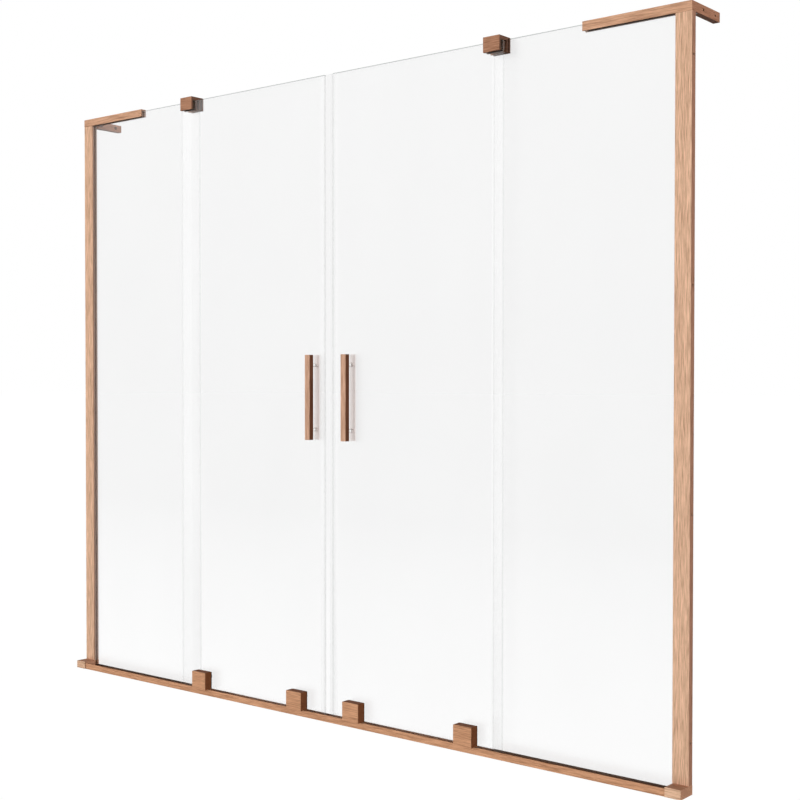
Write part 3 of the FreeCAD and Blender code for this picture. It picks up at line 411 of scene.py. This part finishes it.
# %% [markdown]
# The seals are soft strips pushed onto the panes' edges. Each is one cross-section carried along a
# straight edge, so a modelling tool would extrude a curve. Here the cross-section is a ribbon: a
# middle line with a thickness, offset to both sides, which rounds the lips by thinning the ribbon at
# its ends. All points of a strip come from whole arrays, with no loop over points.

# %% Outline of a ribbon
MM = 0.001
SAME_POINT = 1e-7
LEAST_LIP = 0.02


def straight(first, last, count=12):
    """Points from first to last, evenly spaced."""
    return np.linspace(first, last, count)


def arc(centre, radius, first, last, count=9):
    """Points on a circle; angles in degrees."""
    turn = np.radians(np.linspace(first, last, count))
    return np.asarray(centre) + radius * np.column_stack([np.cos(turn), np.sin(turn)])


def spine_through(*runs):
    """Joins straight runs and arcs, given as arrays of points, and drops repeated points."""
    line = np.concatenate(runs)
    keep = np.concatenate([[True], np.linalg.norm(np.diff(line, axis=0), axis=1) > SAME_POINT])
    return line[keep]


def outline_of(spine, thickness, tip):
    """Left side = spine + normal x half thickness, right side = spine - the same; near both ends the
    half thickness follows a quarter circle of the tip's length down to a small flat, so the lips are
    round. The thickness is one number, or one for each point of the spine."""
    steps = np.linalg.norm(np.diff(spine, axis=0), axis=1)
    run = np.concatenate([[0.0], np.cumsum(steps)])
    end = np.clip(np.minimum(run, run[-1] - run) / tip, 0.0, 1.0)
    half = 0.5 * np.asarray(thickness) * np.sqrt(np.maximum(1.0 - (1.0 - end) ** 2, LEAST_LIP))
    direction = np.gradient(spine, run, axis=0)
    direction /= np.linalg.norm(direction, axis=1, keepdims=True)
    normal = np.stack([-direction[:, 1], direction[:, 0]], axis=1)
    return spine + normal * half[:, None], spine - normal * half[:, None]


print("ribbons have outlines, one unit is", MM, "m")

# %% [markdown]
# An outline becomes a strip when its points are copied to both ends of an edge and joined by quads. A
# single face could close each end, but such a face of many corners folds badly where the ribbon bends.
# So each end is a ladder of quads from the ribbon's left side to its right side.


# %% Carry an outline along an edge
def strip(left, right, start, end, axis, ring=False):
    """Carries the closed outline from start to end along axis. Sides are quads from outline point to
    point; each end is a ladder of quads between the left and the right side. A ring has no lips: its
    left and right sides are an outer and an inner loop."""
    count = len(left)
    plan = np.concatenate([left, right])
    points = np.concatenate([np.column_stack([plan, np.full(2 * count, w)]) for w in (start, end)])
    points = points if axis == "z" else points[:, [2, 0, 1]]
    index = np.arange(count)
    follow = np.roll(index, -1)
    if not ring:
        index, follow = index[:-1], follow[:-1]
    far = 2 * count
    sides = [np.stack([index, follow, follow + far, index + far], axis=1),
             np.stack([follow, index, index + far, follow + far], axis=1) + count]
    rungs = np.stack([index + count, follow + count, follow, index], axis=1)
    ends = [rungs, rungs[:, ::-1] + far]
    lips = [] if ring else [np.array([[count, 0, far, far + count],
                                      [count - 1, 2 * count - 1, far + 2 * count - 1, far + count - 1]])]
    return points, np.concatenate(sides + ends + lips)


print("strips can be carried along x or z")

# %% [markdown]
# A piece is one mesh of several closed parts, as a seal is drawn from one die. Doubles are merged and
# the faces turned outwards before the shading is set: curves are smooth, and an edge sharper than 40
# degrees stays crisp. The piece then rides on its body, takes the finish it is given, and hides the CAD
# nodes it replaces.

# %% Make a piece
SHARP_ANGLE = math.radians(40.0)


def make_piece(name, parts, finish, body, nodes):
    """One mesh from several closed parts; faces are turned outwards and curves are shaded smooth."""
    offsets = np.cumsum([0] + [len(points) for points, _ in parts[:-1]])
    points = np.concatenate([points for points, _ in parts])
    faces = [face for (_, quads), offset in zip(parts, offsets) for face in (quads + offset).tolist()]
    mesh = bpy.data.meshes.new(name)
    mesh.from_pydata(points.tolist(), [], faces)
    shape = bmesh.new()
    shape.from_mesh(mesh)
    bmesh.ops.remove_doubles(shape, verts=shape.verts, dist=SAME_POINT)
    bmesh.ops.recalc_face_normals(shape, faces=shape.faces)
    shape.to_mesh(mesh)
    shape.free()
    mesh.polygons.foreach_set("use_smooth", np.ones(len(mesh.polygons), bool))
    mesh.set_sharp_from_angle(angle=SHARP_ANGLE)
    mesh.materials.append(finish)
    piece = bpy.data.objects.new(name, mesh)
    bpy.context.scene.collection.objects.link(piece)
    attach(piece, body)
    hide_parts(*nodes)
    print(name, len(mesh.vertices), "points", len(mesh.polygons), "faces")


print("pieces can be made")

# %% [markdown]
# The left door carries the closing seal: a clip on the glass, a thin flag, and a hollow bulb that is
# pressed against the other door. The right door has only a slim strike strip. Each could be drawn as
# a closed curve, but a clip is a bent ribbon, so its wall comes out even all the way round. The bulb is
# a ring between two circles.

# %% Closing seal and strike strip
WALL, AIR = 0.95 * MM, 0.03 * MM
CLIP_NOSE, STRIKE_NOSE = 1.0 * MM, 2.0 * MM
FLAG, FLAG_TIP = 1.6 * MM, 0.3 * MM
FLAG_FROM_GLASS, FLAG_INTO_BULB = 0.9 * MM, 0.4 * MM
BULB_WALL, BULB_POINTS = 1.2 * MM, 48


def clip(edge, away, front, back, reach, nose):
    """A U in plan round a pane's edge: two legs of the given reach and a nose beyond the edge."""
    side = WALL / 2 + AIR
    base = edge + away * (nose - WALL / 2)
    turn = np.array([0.0, 90.0]) if away > 0 else np.array([180.0, 90.0])
    corner = edge - away * AIR
    radius = abs(base - corner)
    rear = arc((corner, back + side - radius), radius, *turn[::-1])
    fore = arc((corner, front - side + radius), radius, *(-turn))
    spine = spine_through(straight((edge - away * reach, back + side), rear[0]), rear,
                          straight(rear[-1], fore[0]), fore,
                          straight(fore[-1], (edge - away * reach, front - side)))
    return outline_of(spine, WALL, WALL / 2)


left_pane, right_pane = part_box("sliding_glass_left"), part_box("sliding_glass_right")
seal_box, strike_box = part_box("meeting_seal"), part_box("meeting_strip")
left_edge, right_edge = left_pane[1].x, right_pane[0].x
front, back = left_pane[0].y, left_pane[1].y
low, high = seal_box[0].z, seal_box[1].z
middle = (front + back) / 2
bulb_radius = (seal_box[1].y - seal_box[0].y) / 2
bulb_centre = np.array([seal_box[1].x - bulb_radius, middle])
flag_end = bulb_centre[0] - bulb_radius + FLAG_INTO_BULB
flag = outline_of(straight((left_edge + FLAG_FROM_GLASS, middle), (flag_end, middle)), FLAG, FLAG_TIP)
bulb = [arc(bulb_centre, radius, 0.0, 360.0, BULB_POINTS + 1)[:-1]
        for radius in (bulb_radius, bulb_radius - BULB_WALL)]
seal_clip = clip(left_edge, 1, front, back, left_edge - seal_box[0].x, CLIP_NOSE)
strike = clip(right_edge, -1, front, back, strike_box[1].x - right_edge, STRIKE_NOSE)
parts = [strip(*seal_clip, low, high, "z"), strip(*flag, low, high, "z"),
         strip(*bulb, low, high, "z", ring=True)]
make_piece("closing_seal", parts, closing_plastic, "left_door", ["meeting_seal"])
parts = [strip(*strike, low, high, "z")]
make_piece("strike_strip", parts, closing_plastic, "right_door", ["meeting_strip"])

# %% [markdown]
# Where a fixed and a sliding pane pass each other, the fixed pane's edge carries a clip with one long
# wiper that leans towards the sliding pane and stops just short of it. A wiper is never flat: it
# comes off the extrusion with a slight bow, and it thins towards its lip. So its middle line is a
# sine bow over the straight reach, and its thickness falls along the way.

# %% Edge seals of the fixed panes
WIPER_ROOT, WIPER_LIP = 1.0 * MM, 0.5 * MM
WIPER_LEAN, WIPER_BOW = 9.0 * MM, 0.5 * MM
RIBBON_POINTS = 24


def bowed(first, last, bow):
    """Straight line from first to last, pushed sideways by bow x the sine of a half turn along it."""
    along = np.linspace(0.0, 1.0, RIBBON_POINTS)[:, None]
    first, last = np.asarray(first), np.asarray(last)
    sideways = np.array([-(last - first)[1], (last - first)[0]]) / np.linalg.norm(last - first)
    return first + along * (last - first) + bow * np.sin(np.pi * along) * sideways


def edge_seal(pane, away, box):
    """Clip on the pane's free edge and a bowed wiper that leans from its nose back over the pane."""
    edge, tail = (pane[0].x, box[1].x) if away < 0 else (pane[1].x, box[0].x)
    holder = clip(edge, away, pane[0].y, pane[1].y, abs(tail - edge), CLIP_NOSE)
    root = (edge + away * WALL / 2, pane[0].y - WALL / 2)
    lip = (root[0] - away * WIPER_LEAN, box[0].y)
    thickness = np.linspace(WIPER_ROOT, WIPER_LIP, RIBBON_POINTS)
    wiper = outline_of(bowed(root, lip, away * WIPER_BOW), thickness, WIPER_LIP / 2)
    return [strip(*outline, box[0].z, box[1].z, "z") for outline in (holder, wiper)]


both_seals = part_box("fixed_edge_seals")
parts = (edge_seal(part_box("fixed_glass_right"), -1, both_seals)
         + edge_seal(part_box("fixed_glass_left"), 1, both_seals))
make_piece("edge_wipers", parts, wiper_plastic, "frame", ["fixed_edge_seals"])

# %% [markdown]
# Under each sliding pane a sweep keeps the splash water in: a foot below the glass, a leg up its back
# and a thin lip that hangs towards the rail. Three separate boxes would show their joints, so the foot
# and the leg are one ribbon bent through a right angle, thicker below than above, and the lip is a
# second ribbon with a slight bow.

# %% Door sweeps
LEG = 1.5 * MM
LIP_ROOT, LIP_END = 1.6 * MM, 0.8 * MM
LIP_DROP, LIP_BOW = 1.1 * MM, 0.5 * MM
FOOT_FLARE = 6


def sweep(pane, box):
    """Leg behind the pane, quarter bend, foot under it; then the lip from the bend to the box's far
    corner. From leg to foot the thickness grows with the sixth power of the way down."""
    leg_depth = pane[1].y + LEG / 2
    foot = pane[0].z - box[0].z - LIP_DROP
    foot_height = pane[0].z - foot / 2
    bend = arc((leg_depth - foot / 2, pane[0].z), foot / 2, 0.0, -90.0)
    spine = spine_through(straight((leg_depth, box[1].z), bend[0]), bend,
                          straight(bend[-1], (pane[0].y, foot_height)))
    fall = np.clip((box[1].z - spine[:, 1]) / (box[1].z - foot_height), 0.0, 1.0)
    body = outline_of(spine, LEG + (foot - LEG) * fall ** FOOT_FLARE, LEG / 2)
    hang = bowed((leg_depth, foot_height), (box[1].y - LIP_END / 2, box[0].z + LIP_END), -LIP_BOW)
    lip = outline_of(hang, np.linspace(LIP_ROOT, LIP_END, RIBBON_POINTS), LIP_END / 2)
    return [strip(*outline, box[0].x, box[1].x, "x") for outline in (body, lip)]


for side in ("left", "right"):
    parts = sweep(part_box("sliding_glass_" + side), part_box("door_sweep_" + side))
    make_piece("splash_sweep_" + side, parts, wiper_plastic, side + "_door", ["door_sweep_" + side])

# %% [markdown]
# The panes hang on countersunk bolts, and small set screws clamp the guides at the top. Both are
# turned parts with a six-sided key hole, which one could cut out with a boolean. A hexagon in polar
# form is apothem / cos(angle from the middle of its side), so one grid of angle by profile gives the
# round head and the key hole alike, with clean quads.

# %% Turned screws
TURN_STEPS = 48
CHAMFER = 0.3 * MM
KEY_FLOOR_SLOPE = 3


def turned(x, z, profile):
    """Grid of angle by profile about an axis along y: the point is (x + r cos, y, z + r sin). A row of
    the profile is (r, y, six-sided or not); a six-sided row's r is its apothem, and grows to the
    corners."""
    radius, depth, sixth = np.array(profile, float).T[:, :, None]
    angle = np.linspace(0.0, 2 * np.pi, TURN_STEPS, endpoint=False)
    hexagon = 1.0 / np.cos(np.mod(angle, np.pi / 3) - np.pi / 6)
    reach = radius * np.where(sixth > 0.5, hexagon, 1.0)
    depths = np.broadcast_to(depth, reach.shape)
    points = np.stack([x + reach * np.cos(angle), depths, z + reach * np.sin(angle)], axis=-1)
    row, step = np.meshgrid(np.arange(len(profile) - 1), np.arange(TURN_STEPS), indexing="ij")
    start, follow = row * TURN_STEPS + step, row * TURN_STEPS + (step + 1) % TURN_STEPS
    quads = np.stack([start, follow, follow + TURN_STEPS, start + TURN_STEPS], axis=-1)
    return points.reshape(-1, 3), quads.reshape(-1, 4)


def key_hole(apothem, face, deep):
    """Rows from a flat face into the key hole and to the middle of its floor, a flat cone."""
    return [(apothem + CHAMFER / 2, face, 1), (apothem, face - CHAMFER / 2, 1), (apothem, face - deep, 1),
            (0.0, face - deep - apothem / KEY_FLOOR_SLOPE, 0)]


def screws_on(nodes, screw_node, offset, profile):
    """One screw each side of the middle of every node, at the screw node's height and depth."""
    lo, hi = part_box(screw_node)
    height = (lo.z + hi.z) / 2
    middles = [(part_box(node)[0].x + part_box(node)[1].x) / 2 for node in nodes]
    return [turned(x + shift, height, profile(lo.y, hi.y)) for x in middles for shift in (-offset, offset)]


print("turned screws have", TURN_STEPS, "steps")

# %% [markdown]
# A bolt's head lies flush in the glass behind each carriage, so its outline is a shank, a cone and a
# thin rim. A set screw has no head. Both profiles run from the middle of the tip to the face and on into
# the key hole, so every screw is one closed skin.

# %% Pane bolts and set screws
BOLT_SHANK, BOLT_HEAD, BOLT_CONE, BOLT_RIM = 3.0 * MM, 7.0 * MM, 3.6 * MM, 0.3 * MM
BOLT_KEY, BOLT_KEY_DEEP, BOLT_OFFSET = 2.0 * MM, 2.2 * MM, 12.0 * MM
SET_SCREW, SET_SCREW_OFFSET = 2.0 * MM, 11.0 * MM
SET_SCREW_KEY, SET_SCREW_KEY_DEEP = 0.9 * MM, 1.6 * MM


def bolt_profile(tip, face):
    """From the middle of the tip over shank, cone and rim to the face, then into the key hole."""
    return [(0.0, tip, 0), (BOLT_SHANK - CHAMFER, tip, 0), (BOLT_SHANK, tip + CHAMFER, 0),
            (BOLT_SHANK, face - BOLT_CONE, 0), (BOLT_HEAD - CHAMFER, face - BOLT_RIM, 0),
            (BOLT_HEAD - CHAMFER / 2, face - BOLT_RIM / 2, 0), (BOLT_HEAD - CHAMFER, face, 0),
            *key_hole(BOLT_KEY, face, BOLT_KEY_DEEP)]


def set_screw_profile(tip, face):
    """A plain short screw with chamfered ends and a key hole."""
    return [(0.0, tip, 0), (SET_SCREW - CHAMFER, tip, 0), (SET_SCREW, tip + CHAMFER, 0),
            (SET_SCREW, face - CHAMFER, 0), (SET_SCREW - CHAMFER, face, 0),
            *key_hole(SET_SCREW_KEY, face, SET_SCREW_KEY_DEEP)]


for side in ("left", "right"):
    chassis = ["carriage_chassis_" + side + "_outer", "carriage_chassis_" + side + "_inner"]
    parts = screws_on(chassis, "glass_bolts_" + side, BOLT_OFFSET, bolt_profile)
    make_piece("pane_bolts_" + side, parts, stainless, side + "_door", ["glass_bolts_" + side])
guides = ["top_guide_left", "top_guide_right"]
parts = screws_on(guides, "guide_screws", SET_SCREW_OFFSET, set_screw_profile)
make_piece("guide_set_screws", parts, stainless, "frame", ["guide_screws"])

# %% [markdown]
# A white studio could be lit until everything is white, but then the bars lose their shade. So floor and
# background are white only to rays that see them: from the camera, from a mirror or through glass. As
# a light on matt surfaces they stay dim. Through one pane they are a little greyer, as a room behind
# glass is; where two panes overlap, what they mirror makes up for it.

# %% Rays that see white
ONE_PANE_SKINS, TWO_PANE_SKINS = 2.0, 4.0


def seen_directly(tree):
    """Two values: 1 for camera, mirrored and transmitted rays that no matt surface has scattered before,
    else 0; and 1 for a camera ray that has passed one pane, falling to 0 for two panes."""
    path = add_node(tree, "ShaderNodeLightPath")
    from_camera = path.outputs["Is Camera Ray"]
    seen = combined(tree, "MAXIMUM", from_camera, path.outputs["Is Glossy Ray"])
    seen = combined(tree, "MAXIMUM", seen, path.outputs["Is Transmission Ray"])
    unscattered = ranged(tree, path.outputs["Diffuse Depth"], 1.0, 0.0, 0.0, 1.0)
    skins = path.outputs["Transparent Depth"]
    one_pane = combined(tree, "MULTIPLY", ranged(tree, skins, 0.0, 1.0, 0.0, 1.0),
                        ranged(tree, skins, 1.0, 0.0, ONE_PANE_SKINS, TWO_PANE_SKINS))
    return (combined(tree, "MULTIPLY", seen, unscattered),
            combined(tree, "MULTIPLY", from_camera, one_pane))


print("a pane has", ONE_PANE_SKINS, "skins")

# %% [markdown]
# The floor is a plain white sheet, a hair below the rail. To the camera most of it shines white by
# itself, so that it runs into the background without an edge, while a part of it is plain and matt
# and keeps the shadow. Behind a pane it gets greyer with the distance from the screen.

# %% Floor
FLOOR_HALF, FLOOR_DROP = 60.0, 0.0003
FLOOR_CORNERS = np.array([(-1, -1), (1, -1), (1, 1), (-1, 1)])
FLOOR_MATT = 0.10
FLOOR_SELF_WHITE = 0.70
FLOOR_SHINE, FLOOR_SHINE_BEHIND = 1.424, 1.317
NEAR_FLOOR, FAR_FLOOR = 0.1, 3.6
WHITE = (*PLAIN, 1.0)

sheet = bpy.data.meshes.new("floor")
corners = np.column_stack([FLOOR_CORNERS * FLOOR_HALF, np.full(len(FLOOR_CORNERS), -FLOOR_DROP)])
sheet.from_pydata(corners.tolist(), [], [range(len(FLOOR_CORNERS))])
floor = bpy.data.objects.new("floor", sheet)
bpy.context.scene.collection.objects.link(floor)
floor_white, tree, shader = start_finish("floor_white")
tree.nodes.remove(shader)
plain = add_node(tree, "ShaderNodeBsdfDiffuse", Color=(FLOOR_MATT, FLOOR_MATT, FLOOR_MATT, 1.0))
shine = add_node(tree, "ShaderNodeEmission", Color=WHITE)
mixed = add_node(tree, "ShaderNodeMixShader")
direct, through_pane = seen_directly(tree)
distance = reach_along(tree, add_node(tree, "ShaderNodeTexCoord").outputs["Object"], "Y")
greyer = ranged(tree, distance, 0.0, FLOOR_SHINE - FLOOR_SHINE_BEHIND, NEAR_FLOOR, FAR_FLOOR)
strength = add_node(tree, "ShaderNodeMath", operation="SUBTRACT")
strength.inputs[0].default_value = FLOOR_SHINE
tree.links.new(combined(tree, "MULTIPLY", greyer, through_pane), strength.inputs[1])
tree.links.new(strength.outputs["Value"], shine.inputs["Strength"])
tree.links.new(ranged(tree, direct, 0.0, FLOOR_SELF_WHITE, 0.0, 1.0), mixed.inputs["Fac"])
tree.links.new(plain.outputs["BSDF"], mixed.inputs[1])
tree.links.new(shine.outputs["Emission"], mixed.inputs[2])
tree.links.new(mixed.outputs["Shader"], tree.nodes["Material Output"].inputs["Surface"])
sheet.materials.append(floor_white)
print("floor reaches", FLOOR_HALF, "m each way")

# %% [markdown]
# The background is the world itself, because a backdrop sheet would end somewhere in a view from
# behind. It is white where it is seen and dim as a light, so that it doesn't wash out the shade on the
# sides of the bars. A ray to the back of an overlap crosses more than eight clear skins, so the count
# that Blender allows is raised.

# %% Background
AMBIENT = 0.03
THROUGH_GLASS_WHITE = 0.93
CLEAR_SKINS = 32

world = bpy.data.worlds.new("studio")
bpy.context.scene.world = world
world.use_nodes = True
tree = world.node_tree
direct, through_pane = seen_directly(tree)
level = ranged(tree, direct, AMBIENT, 1.0, 0.0, 1.0)
veiled = ranged(tree, through_pane, 1.0, THROUGH_GLASS_WHITE, 0.0, 1.0)
background = tree.nodes["Background"]
background.inputs["Color"].default_value = WHITE
feed(tree, background, Strength=combined(tree, "MULTIPLY", level, veiled))
bpy.context.scene.cycles.transparent_max_bounces = CLEAR_SKINS
print("background white, ambient", AMBIENT)

# %% [markdown]
# One broad soft lamp from the front left models the bars: their fronts are bright and their right
# sides fall into shade, as a softbox in a studio would do. It is a sun with a wide angle, because a
# lamp near the object would light one end of a 1.8 m screen more than the other. A weaker one from the
# right lifts that shade, and one from behind lights the bath's side of the screen. Mirrored rays don't
# see the lamps, or each would leave a bright spot on the glass.

# %% Lamps
# The way to the lamp, its power and its spread in degrees.
LAMPS = {
    "softbox_front": ((-0.62, -0.78, 0.10), 4.1, 30.0),
    "softbox_right": ((0.92, -0.35, 0.15), 1.13, 30.0),
    "softbox_back": ((0.40, 0.90, 0.12), 1.7, 35.0),
}
for name, (towards, power, spread) in LAMPS.items():
    light = bpy.data.lights.new(name, "SUN")
    light.energy = power
    light.angle = math.radians(spread)
    lamp = bpy.data.objects.new(name, light)
    bpy.context.scene.collection.objects.link(lamp)
    lamp.rotation_euler = Vector(towards).to_track_quat("Z", "Y").to_euler()
    lamp.visible_glossy = False
print("lamps", list(LAMPS))

# %% [markdown]
# The camera stands to the right of the bath at about half the screen's height and looks 40 degrees
# to the left. One could move it by eye until the picture fits. Here its focal length, its place and a
# small shift of the lens were fitted to the screen's corners in the photograph.

# %% Camera
CAMERA_PLACE = (2.04133, -2.31468, 0.78838)
CAMERA_TURN, CAMERA_DOWN = 0.70239, 0.0186
SENSOR_MM, FOCAL_MM = 36.0, 60.044
SHIFT_ACROSS, SHIFT_UP = 0.05518, 0.00595
lens = bpy.data.cameras.new("camera")
lens.sensor_width = SENSOR_MM
lens.lens = FOCAL_MM
lens.shift_x = SHIFT_ACROSS
lens.shift_y = SHIFT_UP
camera = bpy.data.objects.new("camera", lens)
bpy.context.scene.collection.objects.link(camera)
camera.location = CAMERA_PLACE
camera.rotation_euler = (math.pi / 2 - CAMERA_DOWN, 0.0, CAMERA_TURN)
bpy.context.scene.camera = camera
bpy.context.scene.view_settings.view_transform = "Standard"
print("camera lens", lens.lens)
